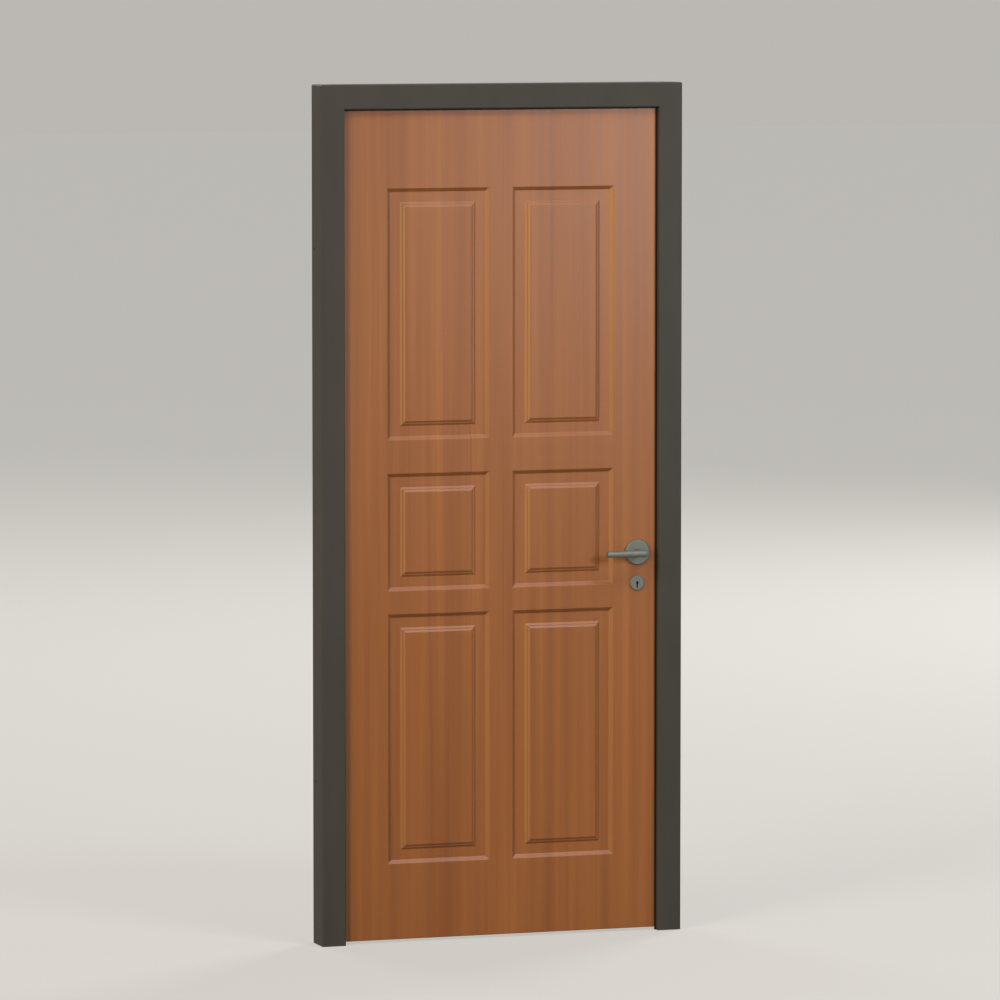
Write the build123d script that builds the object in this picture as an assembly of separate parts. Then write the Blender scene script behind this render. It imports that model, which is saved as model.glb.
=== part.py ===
from build123d import *
import os
from math import radians, sin

# Panelled front door, closed, in its rebated frame. Millimetres, +Z up.
# The origin is the middle of the frame's footprint on the floor. The outside faces -Y.
# The hinges are on the -X side and the leaf opens inwards, towards +Y.

# Door leaf
leaf_width = 826.0
leaf_height = 2040.0
leaf_thickness = 44.0
leaf_arris = 1.5
facing_thickness = 9.0
stile_width = 105.0
lock_stile_width = 125.0
top_rail_height = 110.0
bottom_rail_height = 150.0

# Panel layout on both facings, from the leaf's bottom edge upwards
panel_margin = 122.0
muntin_width = 60.0
bottom_margin = 187.0
lower_panel_height = 613.0
lower_rail = 57.0
middle_panel_height = 287.0
upper_rail = 82.0
upper_panel_height = 612.5

# Moulding round each panel: a steep bevel down to a flat sunk band, then a stepped rise to the field
recess_depth = 5.0
bevel_width = 6.5
band_width = 27.5
first_step_width = 3.5
first_step_rise = 1.8
land_width = 5.0
land_rise = 0.4
last_step_width = 4.0
last_step_rise = 1.8

# Gaps between leaf, frame and floor
edge_gap = 3.0
floor_gap = 7.0
stop_gap = 3.0

# Frame section
frame_depth = 80.0
frame_back = 48.0
lip_width = 12.0
front_reveal = 18.0
frame_arris = 3.5
lip_arris = 1.5
frame_corner_radius = 4.5

# Seal strip: a barbed stem in a kerf, and a flat bulb that closes the gap in front of the leaf
seal_touch = 0.3
seal_seat = 9.0
seal_show = 4.2
seal_stem = 2.4
seal_stem_depth = 5.0

# Butt hinges
hinge_height = 100.0
hinge_plate_width = 38.0
hinge_plate_thickness = 3.0
knuckle_radius = 6.5
knuckle_count = 5
knuckle_gap = 0.3
hinge_pin_radius = 3.0
pin_play = 0.05
pin_head_radius = 5.0
pin_head_height = 2.5
knuckle_stand_off = 0.5
relief_play = 0.7
top_hinge_drop = 200.0
bottom_hinge_rise = 275.0

# Countersunk screws
screw_radius = 2.25
screw_head_radius = 4.4
screw_head_height = 2.4
screw_length = 30.0
short_screw_length = 12.0
corner_screw_length = 110.0
corner_screw_radius = 3.0
screw_play = 0.05

# Fixing holes through the jambs into the wall
fixing_radius = 4.0
fixing_spacing = 1300.0
fixing_inset = 8.0
fixing_sink_radius = 8.0
fixing_sink_depth = 8.0

# Mortise lock
lever_height = 935.0
backset = 60.0
key_drop = 76.0
case_thickness = 15.0
case_wall = 1.5
case_behind_axis = 27.0
case_above_axis = 46.0
case_below_key = 42.0
mortise_play = 0.5
forend_thickness = 3.0
forend_width = 20.0
forend_length = 235.0
spindle_size = 8.0
spindle_play = 0.05
follower_radius = 10.0
follower_boss_radius = 8.0
bearing_play = 0.08
cam_width = 6.0
cam_play = 0.8
lever_turn = 35.0

# Latch bolt and dead bolt
latch_throw = 12.0
latch_sink = 0.5
latch_rise = 22.0
latch_height = 22.0
latch_thickness = 11.0
latch_head_length = 29.0
bolt_play = 0.4
tail_thickness = 4.0
tail_height = 6.0
spring_radius = 3.2
spring_wire = 0.5
spring_turns = 6.0
spring_post = 3.0
spring_seat = 22.0
dead_bolt_rise = 20.0
dead_bolt_height = 26.0
dead_bolt_head = 22.0
dead_bolt_tail = 55.0
dead_bolt_throw = 20.0

# Strike
strike_thickness = 3.0
strike_width = 24.0
strike_length = 180.0
strike_hole_play = 1.5
strike_box_depth = 20.0
strike_box_wall = 1.0

# Lever handle, rose and escutcheon, alike on both sides
rose_radius = 31.0
rose_height = 9.5
rose_chamfer = 1.8
cap_wall = 1.5
neck_radius = 9.0
neck_play = 0.3
grip_stand_off = 50.0
grip_length = 95.0
grip_root = 9.5
grip_root_radius = 9.3
grip_tip_radius = 7.4
grip_root_rounding = 7.5
grip_tip_rounding = 0.8
spindle_grip = 28.0
grub_radius = 2.5
escutcheon_radius = 18.5
escutcheon_height = 5.0
escutcheon_chamfer = 1.2
keyhole_radius = 3.3
keyhole_slot = 3.6
keyhole_drop = 13.0
base_play = 0.2
furniture_screw_offset = 19.0
escutcheon_screw_offset = 11.5
base_hole_play = 2.0

# Places that follow from the sizes
lip_thickness = front_reveal - stop_gap
frame_face = frame_back + lip_width
frame_width = leaf_width + 2 * (edge_gap + frame_back)
frame_height = floor_gap + leaf_height + edge_gap + frame_back
frame_left = -frame_width / 2
frame_front = -frame_depth / 2
leaf_front = frame_front + front_reveal
leaf_back = leaf_front + leaf_thickness
leaf_middle = (leaf_front + leaf_back) / 2
leaf_left = -leaf_width / 2
leaf_right = leaf_width / 2
leaf_top = floor_gap + leaf_height
core_half = leaf_thickness / 2 - facing_thickness
panel_width = (leaf_width - 2 * panel_margin - muntin_width) / 2

rebate_left = leaf_left - edge_gap
rebate_right = leaf_right + edge_gap
hinge_axis_x = leaf_left - edge_gap / 2
hinge_axis_y = leaf_back + knuckle_radius + knuckle_stand_off
top_hinge = leaf_top - top_hinge_drop
bottom_hinge = floor_gap + bottom_hinge_rise
hinge_levels = [("upper", top_hinge), ("middle", (top_hinge + bottom_hinge) / 2), ("lower", bottom_hinge)]

lever_x = leaf_right - backset
lever_z = floor_gap + lever_height
key_z = lever_z - key_drop
case_right = leaf_right - forend_thickness
case_left = lever_x - case_behind_axis
case_top = lever_z + case_above_axis
case_bottom = key_z - case_below_key
case_middle = (case_top + case_bottom) / 2
latch_z = lever_z + latch_rise
latch_travel = latch_throw + latch_sink
cam_reach = latch_travel / sin(radians(lever_turn))
dead_bolt_z = key_z + dead_bolt_rise


def block(x_range, y_range, z_range):
    """Box between three pairs of coordinates."""
    sizes = [high - low for low, high in (x_range, y_range, z_range)]
    middles = [(high + low) / 2 for low, high in (x_range, y_range, z_range)]
    return Pos(*middles) * Box(*sizes)


def rod(start, direction, length, radius):
    """Cylinder that starts at a point and runs along a direction."""
    return Plane(origin=start, z_dir=direction) * Cylinder(
        radius, length, align=(Align.CENTER, Align.CENTER, Align.MIN)
    )


def turned(start, direction, outline):
    """Solid of revolution about a direction, from an outline of (radius, height) points."""
    face = make_face(Polyline([(r, 0, h) for r, h in outline], close=True))
    return Plane(origin=start, z_dir=direction) * revolve(face, Axis.Z)


def screw(place, direction, length, radius=screw_radius, play=0.0):
    """Countersunk screw, driven along a direction, with the flat of its head at its place."""
    head = screw_head_radius * radius / screw_radius + play
    shank = radius + play
    return turned(
        place,
        direction,
        [(0, 0), (head, 0), (shank, screw_head_height), (shank, length), (0, length + shank + play)],
    )


def screws(places, direction, length, radius=screw_radius, play=0.0):
    return [screw(place, direction, length, radius, play) for place in places]


def save(name, shape):
    """Write one node. A list of solids becomes one group."""
    solids = shape.solids() if not isinstance(shape, list) else [s for item in shape for s in item.solids()]
    export_step(solids[0] if len(solids) == 1 else Compound(children=solids), f"parts/{name}.step")


# Frame members

def jamb_section():
    """Main section of a frame member: x runs inwards from the wall side, y from outside to inside."""
    stop = frame_front + lip_thickness
    middle = (stop - frame_front) / 2
    section = Pos(frame_back / 2, middle) * Rectangle(frame_back, -frame_front - stop)
    return fillet(section.vertices().group_by(Axis.Y)[-1], frame_arris)


def stop_section():
    """Wider board on the front of the member. Its inner edge is the stop that the leaf closes against."""
    section = Pos(frame_face / 2, frame_front + lip_thickness / 2) * Rectangle(frame_face, lip_thickness)
    section = fillet(section.vertices().group_by(Axis.Y)[0], frame_arris)
    inner = section.vertices().sort_by_distance((frame_face, frame_front + lip_thickness))[0]
    return fillet(inner, lip_arris) - seal_stem_section(screw_play)


def seal_stem_section(play=0.0):
    middle = frame_face - seal_seat / 2
    stop = frame_front + lip_thickness
    return Pos(middle, stop - seal_stem_depth / 2) * Rectangle(
        seal_stem + 2 * play, seal_stem_depth + 2 * play
    )


def seal_section():
    """Stem in the kerf and a flat bulb that reaches past the lip's edge."""
    stop = frame_front + lip_thickness
    thick = stop_gap - seal_touch
    wide = seal_seat + seal_show
    bulb = Pos(frame_face + seal_show - wide / 2, stop + thick / 2) * RectangleRounded(wide, thick, thick * 0.45)
    return bulb + seal_stem_section()


def mitre_wedge(upper):
    """Half of the corner block above or below the mitre at the frame's top left corner."""
    reach = frame_face + seal_show + 1
    corner = (frame_left, frame_height)
    inner = (frame_left + reach, frame_height - reach)
    other = (frame_left + reach, frame_height) if upper else (frame_left, frame_height - reach)
    triangle = make_face(Polyline([(x, 0, z) for x, z in (corner, other, inner)], close=True))
    return extrude(triangle, frame_depth, dir=(0, 1, 0), both=True)


def corner_waste():
    """What rounding takes off the frame's top left corner, as seen from the front."""
    radius = frame_corner_radius
    x = frame_left + radius
    z = frame_height - radius
    square = block((x - radius - 1, x), (-frame_depth, frame_depth), (z, z + radius + 1))
    return square - rod((x, -frame_depth - 1, z), (0, 1, 0), 2 * frame_depth + 2, radius)


def upright(section):
    """Upright on the hinge side, mitred at its top."""
    bar = extrude(Pos(frame_left, 0, 0) * section, frame_height, dir=(0, 0, 1))
    return bar - mitre_wedge(True) - corner_waste()


def crosspiece(section):
    """Head across the top, mitred at both ends."""
    plane = Plane(origin=(frame_left, 0, frame_height), x_dir=(0, 0, -1), z_dir=(1, 0, 0))
    bar = extrude(plane * section, frame_width, dir=(1, 0, 0))
    waste = mitre_wedge(False) + corner_waste()
    return bar - waste - mirror(waste, about=Plane.YZ)


def fixing_holes():
    """Two holes through the jamb, where it is screwed to the wall, with a sink for each head in the rebate."""
    middle = frame_height / 2
    y = leaf_back - fixing_inset
    holes = []
    for side in (-1, 1):
        z = middle + side * fixing_spacing / 2
        holes.append(rod((frame_left - 1, y, z), (1, 0, 0), frame_back + 2, fixing_radius))
        sink = (rebate_left - fixing_sink_depth, y, z)
        holes.append(rod(sink, (1, 0, 0), fixing_sink_depth + 1, fixing_sink_radius))
    return holes


def corner_screw_places():
    """Two screws at each top corner, driven down through the head into the jamb."""
    inset = frame_back / 2
    depth = frame_depth - lip_thickness
    return [
        (side * (frame_width / 2 - inset), lip_thickness / 2 + step * depth / 4, frame_height)
        for side in (-1, 1)
        for step in (-1, 1)
    ]


def corner_screw_set(play=0.0):
    return screws(corner_screw_places(), (0, 0, -1), corner_screw_length, corner_screw_radius, play)


def hinge_jamb():
    jamb = upright(jamb_section())
    cuts = fixing_holes() + corner_screw_set(screw_play)[:2] + hinge_screws(False, screw_play)
    for _, z in hinge_levels:
        cuts.append(hinge_mortise(z, False))
    return jamb - cuts


def lock_jamb():
    jamb = mirror(upright(jamb_section()), about=Plane.YZ)
    cuts = [mirror(hole, about=Plane.YZ) for hole in fixing_holes()] + corner_screw_set(screw_play)[2:]
    return jamb - cuts - strike_mortise() - strike_screw_set(screw_play)


def head():
    return crosspiece(jamb_section()) - corner_screw_set(screw_play)


# Leaf

def panel_centres():
    """Centre and size of each of the six panels, as (x, z, width, height)."""
    columns = [side * (muntin_width + panel_width) / 2 for side in (-1, 1)]
    rows = []
    level = floor_gap + bottom_margin
    for height, rail in (
        (lower_panel_height, lower_rail),
        (middle_panel_height, upper_rail),
        (upper_panel_height, 0),
    ):
        rows.append((level + height / 2, height))
        level += height + rail
    return [(x, z, panel_width, height) for x in columns for z, height in rows]


def frustum(width, height, low_inset, low, high_inset, high):
    """Solid between two rectangles, each inset from the panel's outline, at two heights above the face."""
    bottom = Pos(0, 0, low) * Rectangle(width - 2 * low_inset, height - 2 * low_inset)
    top = Pos(0, 0, high) * Rectangle(width - 2 * high_inset, height - 2 * high_inset)
    return loft([bottom.face(), top.face()], ruled=True)


def panel_cutter(width, height):
    """What the router takes away round one panel, with the leaf's face at height 0."""
    floor = -recess_depth
    cutter = frustum(width, height, bevel_width, floor, 0, 0) + Pos(0, 0, 0.5) * Box(width, height, 1)
    inset = bevel_width + band_width
    level = floor
    for step_width, step_rise in (
        (first_step_width, first_step_rise),
        (land_width, land_rise),
        (last_step_width, last_step_rise),
    ):
        cutter -= frustum(width, height, inset, level, inset + step_width, level + step_rise)
        inset += step_width
        level += step_rise
    return cutter


def facing_blank():
    """Slab of the outside facing with its show edges eased."""
    slab = block(
        (leaf_left, leaf_right), (leaf_front, leaf_front + facing_thickness), (floor_gap, leaf_top)
    )
    return fillet(slab.faces().sort_by(Axis.Y)[0].edges(), leaf_arris)


def milled_facing():
    """Outside facing: one slab with six panels milled into it."""
    slab = facing_blank()
    for x, z, width, height in panel_centres():
        plane = Plane(origin=(x, leaf_front, z), x_dir=(1, 0, 0), z_dir=(0, -1, 0))
        slab -= plane * panel_cutter(width, height)
    return slab


def other_side(shape):
    """The same piece on the leaf's other face."""
    return mirror(shape, about=Plane.XZ.offset(-leaf_middle))


def furniture_holes():
    """Holes through a facing for the handle's spindle and the key, and for the furniture's screws."""
    holes = [
        rod((lever_x, leaf_front - 1, lever_z), (0, 1, 0), facing_thickness + 2, neck_radius + base_hole_play),
        keyhole(keyhole_radius + base_hole_play, leaf_front - 1, leaf_front + facing_thickness + 1),
    ]
    return holes + furniture_screw_set(screw_play)


def front_facing():
    return milled_facing() - furniture_holes()


def back_facing():
    facing = other_side(milled_facing() - furniture_holes())
    return facing - [hinge_mortise(z, True) for _, z in hinge_levels]


def core_block(x_range, z_range):
    return block(x_range, (leaf_middle - core_half, leaf_middle + core_half), z_range)


def hinge_stile():
    stile = core_block((leaf_left, leaf_left + stile_width), (floor_gap, leaf_top))
    cuts = [hinge_mortise(z, True) for _, z in hinge_levels]
    return stile - cuts - hinge_screws(True, screw_play)


def lock_stile():
    stile = core_block((leaf_right - lock_stile_width, leaf_right), (floor_gap, leaf_top))
    through = (leaf_middle - core_half - 1, leaf_middle + core_half + 1)
    cuts = [
        lock_mortise(),
        forend_blank(),
        rod((lever_x, through[0], lever_z), (0, 1, 0), through[1] - through[0], neck_radius + base_hole_play),
        keyhole(keyhole_radius + base_hole_play, *through),
    ]
    holes = furniture_screw_set(screw_play)
    return stile - cuts - holes - [other_side(hole) for hole in holes] - forend_screw_set(screw_play)


def rail(z_range):
    return core_block((leaf_left + stile_width, leaf_right - lock_stile_width), z_range)


def top_rail():
    return rail((leaf_top - top_rail_height, leaf_top))


def bottom_rail():
    return rail((floor_gap, floor_gap + bottom_rail_height))


def core():
    return rail((floor_gap + bottom_rail_height, leaf_top - top_rail_height))


# Hinges

def knuckle_levels(z):
    """Low and high level of each knuckle of the hinge at a height."""
    pitch = hinge_height / knuckle_count
    start = z - hinge_height / 2
    return [(start + i * pitch, start + (i + 1) * pitch) for i in range(knuckle_count)]


def hinge_half(z, on_leaf):
    """One plate of a butt hinge with every other knuckle. The frame's half has the outer knuckles."""
    plate = block(
        (hinge_axis_x - edge_gap / 2 - hinge_plate_thickness, hinge_axis_x - edge_gap / 2),
        (hinge_axis_y - hinge_plate_width, hinge_axis_y),
        (z - hinge_height / 2, z + hinge_height / 2),
    )
    first_own = 1 if on_leaf else 0
    for i, (low, high) in enumerate(knuckle_levels(z)):
        if i % 2 == first_own:
            start = (hinge_axis_x, hinge_axis_y, low + knuckle_gap / 2)
            plate += rod(start, (0, 0, 1), high - low - knuckle_gap, knuckle_radius)
        else:
            plate -= rod((hinge_axis_x, hinge_axis_y, low), (0, 0, 1), high - low, knuckle_radius + knuckle_gap)
    bore = rod(
        (hinge_axis_x, hinge_axis_y, z - hinge_height),
        (0, 0, 1),
        2 * hinge_height,
        hinge_pin_radius + pin_play,
    )
    plate -= bore
    if on_leaf:
        plate = mirror(plate, about=Plane.YZ.offset(hinge_axis_x))
    return plate - hinge_screws(on_leaf, screw_play, [z])


def hinge_mortise(z, on_leaf):
    """Pocket for a hinge plate, with room for the knuckles beside it."""
    sunk = (hinge_axis_x - edge_gap / 2 - hinge_plate_thickness, hinge_axis_x)
    pocket = block(
        sunk, (hinge_axis_y - hinge_plate_width, hinge_axis_y), (z - hinge_height / 2, z + hinge_height / 2)
    )
    half = hinge_height / 2 + pin_head_height + relief_play
    pocket += rod((hinge_axis_x, hinge_axis_y, z - half), (0, 0, 1), 2 * half, knuckle_radius + relief_play)
    return mirror(pocket, about=Plane.YZ.offset(hinge_axis_x)) if on_leaf else pocket


def hinge_pin(z):
    """Pin through the knuckles with a round head at each end."""
    half = hinge_height / 2
    tip = pin_head_height
    return turned(
        (hinge_axis_x, hinge_axis_y, z),
        (0, 0, 1),
        [
            (0, -half - tip),
            (pin_head_radius * 0.6, -half - tip),
            (pin_head_radius, -half - tip / 2),
            (pin_head_radius, -half),
            (hinge_pin_radius, -half),
            (hinge_pin_radius, half),
            (pin_head_radius, half),
            (pin_head_radius, half + tip / 2),
            (pin_head_radius * 0.6, half + tip),
            (0, half + tip),
        ],
    )


def hinge_screws(on_leaf, play=0.0, levels=None):
    """Four staggered screws in each hinge plate."""
    side = 1 if on_leaf else -1
    x = hinge_axis_x + side * edge_gap / 2
    near = hinge_axis_y - hinge_plate_width + 7
    places = [
        (x, near + (i % 2) * 8, z + (i - 1.5) * hinge_height / 4)
        for z in (levels or [level for _, level in hinge_levels])
        for i in range(4)
    ]
    return screws(places, (side, 0, 0), screw_length, play=play)


# Mortise lock

def lock_mortise():
    half = case_thickness / 2 + mortise_play
    return block(
        (case_left - mortise_play, leaf_right),
        (leaf_middle - half, leaf_middle + half),
        (case_bottom - mortise_play, case_top + mortise_play),
    )


def keyhole(radius, y_start, y_end):
    """Keyhole shape along Y: a round top with a slot below it. The slot keeps its share of the radius."""
    slot = keyhole_slot * radius / keyhole_radius
    hole = rod((lever_x, y_start, key_z), (0, 1, 0), y_end - y_start, radius)
    return hole + block(
        (lever_x - slot / 2, lever_x + slot / 2), (y_start, y_end), (key_z - keyhole_drop, key_z)
    )


def case_sides():
    """Y of the case's two outer faces."""
    return leaf_middle - case_thickness / 2, leaf_middle + case_thickness / 2


def case_holes():
    """Holes through both sides of the case for the follower and the key."""
    low, high = case_sides()
    bearing = rod((lever_x, low - 1, lever_z), (0, 1, 0), high - low + 2, follower_boss_radius + bearing_play)
    return [bearing, keyhole(keyhole_radius + 0.5, low - 1, high + 1)]


def lock_case():
    """Folded steel tray that holds the works, open towards the inside of the house."""
    low, high = case_sides()
    tray = block((case_left, case_right), (low, high - case_wall), (case_bottom, case_top))
    tray -= block(
        (case_left + case_wall, case_right - case_wall),
        (low + case_wall, high),
        (case_bottom + case_wall, case_top - case_wall),
    )
    post_x = case_right - latch_head_length + latch_throw + forend_thickness - spring_seat
    post = block(
        (post_x - spring_post, post_x),
        (low + case_wall, high - case_wall),
        (latch_z - latch_height / 2, latch_z - latch_height / 2 + 2 * spring_radius + 1),
    )
    return tray + post - case_holes() - latch_window() - dead_bolt_window()


def lock_case_cover():
    low, high = case_sides()
    return block((case_left, case_right), (high - case_wall, high), (case_bottom, case_top)) - case_holes()


def forend_blank():
    half = forend_width / 2
    return block(
        (case_right, leaf_right),
        (leaf_middle - half, leaf_middle + half),
        (case_middle - forend_length / 2, case_middle + forend_length / 2),
    )


def forend_screw_set(play=0.0):
    reach = forend_length / 2 - 12
    places = [(leaf_right, leaf_middle, case_middle + side * reach) for side in (-1, 1)]
    return screws(places, (-1, 0, 0), screw_length, play=play)


def lock_forend():
    plate = fillet(forend_blank().edges().filter_by(Axis.X), forend_width * 0.2)
    return plate - latch_window() - dead_bolt_window() - forend_screw_set(screw_play)


def bolt_window(z, height, thickness):
    """Hole in the case's edge and the forend that a bolt slides through."""
    return block(
        (case_right - case_wall - 1, leaf_right + 1),
        (leaf_middle - thickness / 2 - bolt_play, leaf_middle + thickness / 2 + bolt_play),
        (z - height / 2 - bolt_play, z + height / 2 + bolt_play),
    )


def latch_window():
    return bolt_window(latch_z, latch_height, latch_thickness)


def dead_bolt_window():
    return bolt_window(dead_bolt_z, dead_bolt_height, latch_thickness)


def latch_bolt():
    """Bevelled head, a tail over the follower, and a hook that the follower's cam pulls back."""
    tip = leaf_right + latch_throw
    heel = tip - latch_head_length
    front = leaf_middle - latch_thickness / 2
    back = leaf_middle + latch_thickness / 2
    outline = Polyline(
        [
            (heel, front, 0),
            (leaf_right + 1, front, 0),
            (tip, back - 3, 0),
            (tip, back, 0),
            (heel, back, 0),
        ],
        close=True,
    )
    head = Pos(0, 0, latch_z - latch_height / 2) * extrude(make_face(outline), latch_height, dir=(0, 0, 1))
    hook_right = lever_x - cam_width / 2 - cam_play
    hook_left = hook_right - tail_height
    bar_top = latch_z + latch_height / 2
    middle = (leaf_middle - tail_thickness / 2, leaf_middle + tail_thickness / 2)
    bar = block((hook_left, heel), middle, (bar_top - tail_height, bar_top))
    hook = block((hook_left, hook_right), middle, (lever_z + follower_radius + 1, bar_top))
    return head + bar + hook


def latch_spring():
    """Coil between the post in the case and the heel of the latch head."""
    heel = leaf_right + latch_throw - latch_head_length
    length = spring_seat - 2 * spring_wire
    path = Helix(pitch=length / spring_turns, height=length, radius=spring_radius - spring_wire)
    ring = Plane(origin=path @ 0, z_dir=path % 0) * RegularPolygon(spring_wire, 6)
    coil = sweep(ring, path=path, is_frenet=True)
    z = latch_z - latch_height / 2 + spring_radius + 0.5
    start = (heel - spring_seat + spring_wire, leaf_middle, z)
    return Plane(origin=start, z_dir=(1, 0, 0)) * coil


def dead_bolt():
    """Square-ended bolt with a flat tail that has a notch for the key's bit."""
    tip = leaf_right - latch_sink
    heel = tip - dead_bolt_head
    half = dead_bolt_height / 2
    head = block(
        (heel, tip),
        (leaf_middle - latch_thickness / 2, leaf_middle + latch_thickness / 2),
        (dead_bolt_z - half, dead_bolt_z + half),
    )
    tail = block(
        (heel - dead_bolt_tail, heel),
        (leaf_middle - tail_thickness / 2, leaf_middle + tail_thickness / 2),
        (key_z + keyhole_radius + 4, dead_bolt_z + half),
    )
    notch = rod((lever_x, leaf_front, key_z + keyhole_radius + 4), (0, 1, 0), leaf_thickness, keyhole_radius + 2)
    return head + tail - notch


def follower():
    """Hub that the spindle turns, with bearing bosses and a cam arm that points up."""
    low, high = case_sides()
    inner = high - low - 2 * case_wall - 2 * bearing_play
    hub = rod((lever_x, leaf_middle - inner / 2, lever_z), (0, 1, 0), inner, follower_radius)
    boss = rod((lever_x, low, lever_z), (0, 1, 0), high - low, follower_boss_radius)
    arm = block(
        (lever_x - cam_width / 2, lever_x + cam_width / 2),
        (leaf_middle - tail_thickness / 2, leaf_middle + tail_thickness / 2),
        (lever_z, lever_z + cam_reach),
    )
    return hub + boss + arm - spindle_bar(spindle_play, leaf_thickness)


def spindle_bar(play, length):
    half = spindle_size / 2 + play
    return block(
        (lever_x - half, lever_x + half),
        (leaf_middle - length / 2, leaf_middle + length / 2),
        (lever_z - half, lever_z + half),
    )


def spindle_length():
    return leaf_thickness + 2 * spindle_grip


def spindle():
    return spindle_bar(0, spindle_length())


# Strike

def strike_blank():
    half = strike_width / 2
    return block(
        (rebate_right, rebate_right + strike_thickness),
        (leaf_middle - half, leaf_middle + half),
        (case_middle - strike_length / 2, case_middle + strike_length / 2),
    )


def strike_holes():
    """Openings for the latch bolt and the dead bolt."""
    half = latch_thickness / 2 + strike_hole_play
    return [
        block(
            (rebate_right - 1, rebate_right + strike_thickness + 1),
            (leaf_middle - half, leaf_middle + half),
            (z - height / 2 - strike_hole_play, z + height / 2 + strike_hole_play),
        )
        for z, height in ((latch_z, latch_height), (dead_bolt_z, dead_bolt_height))
    ]


def strike_box_range():
    low = dead_bolt_z - dead_bolt_height / 2 - strike_hole_play - strike_box_wall
    high = latch_z + latch_height / 2 + strike_hole_play + strike_box_wall
    return low, high


def strike_box_blank(play=0.0):
    half = latch_thickness / 2 + strike_hole_play + strike_box_wall + play
    low, high = strike_box_range()
    start = rebate_right + strike_thickness
    return block(
        (start, start + strike_box_depth + play), (leaf_middle - half, leaf_middle + half), (low - play, high + play)
    )


def strike_mortise():
    return strike_blank() + strike_box_blank(mortise_play)


def strike_screw_set(play=0.0):
    reach = strike_length / 2 - 12
    places = [(rebate_right, leaf_middle, case_middle + side * reach) for side in (-1, 1)]
    return screws(places, (1, 0, 0), screw_length, play=play)


def strike_plate():
    plate = fillet(strike_blank().edges().filter_by(Axis.X), strike_width * 0.2)
    return plate - strike_holes() - strike_screw_set(screw_play)


def strike_box():
    """Thin box behind the strike plate that keeps dust and splinters off the bolts."""
    half = latch_thickness / 2 + strike_hole_play
    low, high = strike_box_range()
    start = rebate_right + strike_thickness
    inside = block(
        (start - 1, start + strike_box_depth - strike_box_wall),
        (leaf_middle - half, leaf_middle + half),
        (low + strike_box_wall, high - strike_box_wall),
    )
    return strike_box_blank() - inside


# Handles, roses and escutcheons, drawn on the outside and mirrored for the inside

def turned_cap(z, radius, height, chamfer, hole_radius):
    """Turned cap: a hollow disc with a bevelled rim and a hole in its middle."""
    return turned(
        (lever_x, leaf_front, z),
        (0, -1, 0),
        [
            (radius, 0),
            (radius, height - chamfer),
            (radius - chamfer, height),
            (hole_radius, height),
            (hole_radius, height - cap_wall),
            (radius - cap_wall, height - cap_wall),
            (radius - cap_wall, 0),
        ],
    )


def outside_rose():
    return turned_cap(lever_z, rose_radius, rose_height, rose_chamfer, neck_radius + neck_play)


def rose_base():
    """Moulded base under the rose, screwed to the facing."""
    disc = rod(
        (lever_x, leaf_front, lever_z), (0, -1, 0), rose_height - cap_wall, rose_radius - cap_wall - base_play
    )
    disc -= rod((lever_x, leaf_front + 1, lever_z), (0, -1, 0), rose_height + 2, neck_radius + neck_play)
    return disc - screw_pockets(lever_z, furniture_screw_offset, rose_height - cap_wall)


def base_screw_level():
    """Height above the leaf's face at which the heads of the furniture's screws sit."""
    return screw_head_height + 0.6


def screw_pockets(z, offset, height):
    """Screw holes through a base, each with a well above its head."""
    level = base_screw_level()
    cuts = []
    for side in (-1, 1):
        place = (lever_x + side * offset, leaf_front - level, z)
        cuts.append(screw(place, (0, 1, 0), short_screw_length, play=screw_play))
        cuts.append(rod(place, (0, -1, 0), height, screw_head_radius + screw_play))
    return cuts


def furniture_screw_set(play=0.0):
    """Screws of the outside rose base and escutcheon base."""
    level = leaf_front - base_screw_level()
    places = [
        (lever_x + side * offset, level, z)
        for z, offset in ((lever_z, furniture_screw_offset), (key_z, escutcheon_screw_offset))
        for side in (-1, 1)
    ]
    return screws(places, (0, 1, 0), short_screw_length, play=play)


def outside_escutcheon():
    cap = turned(
        (lever_x, leaf_front, key_z),
        (0, -1, 0),
        [
            (escutcheon_radius, 0),
            (escutcheon_radius, escutcheon_height - escutcheon_chamfer),
            (escutcheon_radius - escutcheon_chamfer, escutcheon_height),
            (0, escutcheon_height),
            (0, escutcheon_height - cap_wall),
            (escutcheon_radius - cap_wall, escutcheon_height - cap_wall),
            (escutcheon_radius - cap_wall, 0),
        ],
    )
    return cap - keyhole(keyhole_radius, leaf_front - escutcheon_height - 1, leaf_front)


def escutcheon_base():
    height = escutcheon_height - cap_wall
    disc = rod((lever_x, leaf_front, key_z), (0, -1, 0), height, escutcheon_radius - cap_wall - base_play)
    disc -= keyhole(keyhole_radius + 0.5, leaf_front - height - 1, leaf_front + 1)
    return disc - screw_pockets(key_z, escutcheon_screw_offset, height)


def outside_lever():
    """Straight lever: a neck out of the rose and a tapered round grip towards the hinge side."""
    grip_y = leaf_front - grip_stand_off
    neck = rod((lever_x, leaf_front - 1, lever_z), (0, -1, 0), grip_stand_off - 1, neck_radius)
    length = grip_length + grip_root
    grip = turned(
        (lever_x + grip_root, grip_y, lever_z),
        (-1, 0, 0),
        [(0, 0), (grip_root_radius, 0), (grip_tip_radius, length), (0, length)],
    )
    ends = grip.edges().filter_by(GeomType.CIRCLE).sort_by(Axis.X)
    grip = fillet(ends[-1], grip_root_rounding)
    grip = fillet(grip.edges().filter_by(GeomType.CIRCLE).sort_by(Axis.X)[0], grip_tip_rounding)
    lever = grip + neck
    lever -= spindle_bar(spindle_play, spindle_length() + 2)
    return lever - grub_screw(screw_play)


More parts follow.
